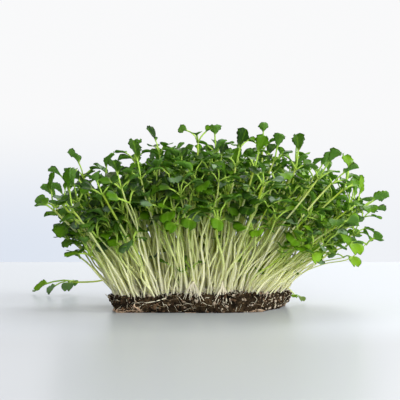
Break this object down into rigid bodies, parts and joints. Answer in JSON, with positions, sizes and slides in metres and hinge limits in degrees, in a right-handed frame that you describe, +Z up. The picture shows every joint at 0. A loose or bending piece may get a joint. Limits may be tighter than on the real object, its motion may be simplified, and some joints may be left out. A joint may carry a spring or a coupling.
{
  "type": "slab of microgreens",
  "caption": "Slab of dark growing medium lifted from its tray, with a dense, fanned stand of young brassica seedlings on pale stems.",
  "frame": {"origin": "on the flat underside of the growing block, near its middle", "axes": "+Z up, +X to the right along the block's long side, +Y away from the viewer"},
  "size_m": [0.2127, 0.1786, 0.0967],
  "materials": {
    "growing_medium": "matt, crumbly dark peat with fine roots and pale crumbs",
    "stem": "smooth, moist, translucent, white at the base and pale green above",
    "leaf": "soft satin leaf, dark to bright green, blue-grey underneath"
  },
  "bodies": {
    "root": {"growing_block": "growing_medium", "bunch_01_stems": "stem", "bunch_01_leaves": "leaf", "bunch_02_stems": "stem", "bunch_02_leaves": "leaf", "bunch_03_stems": "stem", "bunch_03_leaves": "leaf", "bunch_04_stems": "stem", "bunch_04_leaves": "leaf", "bunch_05_stems": "stem", "bunch_05_leaves": "leaf", "bunch_06_stems": "stem", "bunch_06_leaves": "leaf", "bunch_07_stems": "stem", "bunch_07_leaves": "leaf", "bunch_08_stems": "stem", "bunch_08_leaves": "leaf", "bunch_09_stems": "stem", "bunch_09_leaves": "leaf", "bunch_10_stems": "stem", "bunch_10_leaves": "leaf", "bunch_11_stems": "stem", "bunch_11_leaves": "leaf", "bunch_12_stems": "stem", "bunch_12_leaves": "leaf", "bunch_13_stems": "stem", "bunch_13_leaves": "leaf", "bunch_14_stems": "stem", "bunch_14_leaves": "leaf", "bunch_15_stems": "stem", "bunch_15_leaves": "leaf", "bunch_16_stems": "stem", "bunch_16_leaves": "leaf", "bunch_17_stems": "stem", "bunch_17_leaves": "leaf", "bunch_18_stems": "stem", "bunch_18_leaves": "leaf", "bunch_19_stems": "stem", "bunch_19_leaves": "leaf", "bunch_20_stems": "stem", "bunch_20_leaves": "leaf", "bunch_21_stems": "stem", "bunch_21_leaves": "leaf", "bunch_22_stems": "stem", "bunch_22_leaves": "leaf", "bunch_23_stems": "stem", "bunch_23_leaves": "leaf", "bunch_24_stems": "stem", "bunch_24_leaves": "leaf", "bunch_25_stems": "stem", "bunch_25_leaves": "leaf", "trailing_sprout_stem": "stem", "trailing_sprout_leaves": "leaf", "side_sprout": "leaf"}
  },
  "joints": []
}
